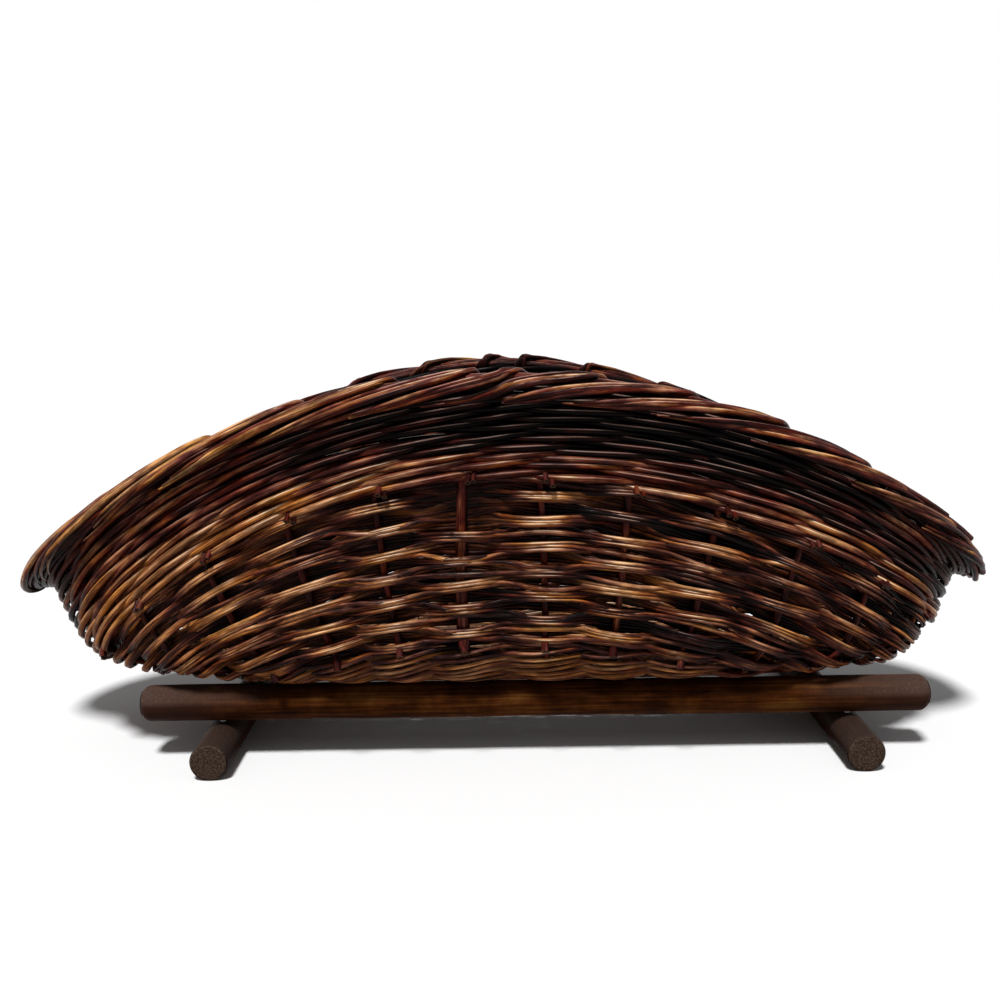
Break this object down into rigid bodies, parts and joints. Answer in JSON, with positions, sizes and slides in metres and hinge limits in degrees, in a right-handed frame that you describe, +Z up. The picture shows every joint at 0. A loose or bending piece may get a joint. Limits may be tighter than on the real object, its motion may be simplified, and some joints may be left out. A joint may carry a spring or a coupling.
{
  "type": "wicker harvest basket on a log cradle",
  "caption": "Long boat-shaped wicker basket with high sides, low ends and a rod border, resting loose in a cradle of round logs, for gathering and showing produce or flowers.",
  "frame": {"origin": "on the floor, under the middle of the basket", "axes": "+X along the basket's length to the right, +Y from the front to the back, +Z up"},
  "size_m": [0.6724, 0.2654, 0.256],
  "materials": {
    "stained_willow": "dark brown stain under a glossy lacquer, rubbed to golden brown on the crowns of the rods",
    "stained_log": "dark walnut stain under a satin lacquer",
    "screw_steel": "plain bright steel"
  },
  "bodies": {
    "cradle": {"front_rail": "stained_log", "rear_rail": "stained_log", "left_foot": "stained_log", "right_foot": "stained_log", "front_left_screw": "screw_steel", "front_right_screw": "screw_steel", "rear_left_screw": "screw_steel", "rear_right_screw": "screw_steel"},
    "basket": {"base_mat": "stained_willow", "lower_weave": "stained_willow", "upper_weave": "stained_willow", "base_cross_stick_1": "stained_willow", "base_cross_stick_2": "stained_willow", "base_cross_stick_3": "stained_willow", "base_cross_stick_4": "stained_willow", "base_cross_stick_5": "stained_willow", "base_long_stick_1": "stained_willow", "base_long_stick_2": "stained_willow", "base_long_stick_3": "stained_willow", "stake_01": "stained_willow", "stake_02": "stained_willow", "stake_03": "stained_willow", "stake_04": "stained_willow", "stake_05": "stained_willow", "stake_06": "stained_willow", "stake_07": "stained_willow", "stake_08": "stained_willow", "stake_09": "stained_willow", "stake_10": "stained_willow", "stake_11": "stained_willow", "stake_12": "stained_willow", "stake_13": "stained_willow", "stake_14": "stained_willow", "stake_15": "stained_willow", "stake_16": "stained_willow", "stake_17": "stained_willow", "stake_18": "stained_willow", "stake_19": "stained_willow", "stake_20": "stained_willow", "stake_21": "stained_willow", "stake_22": "stained_willow", "stake_23": "stained_willow", "stake_24": "stained_willow", "stake_25": "stained_willow", "stake_26": "stained_willow"}
  },
  "joints": [
    {"name": "basket_lift", "type": "slide", "parent": "cradle", "child": "basket", "axis": [0, 0, 1], "range_m": [0, 0.2]}
  ]
}
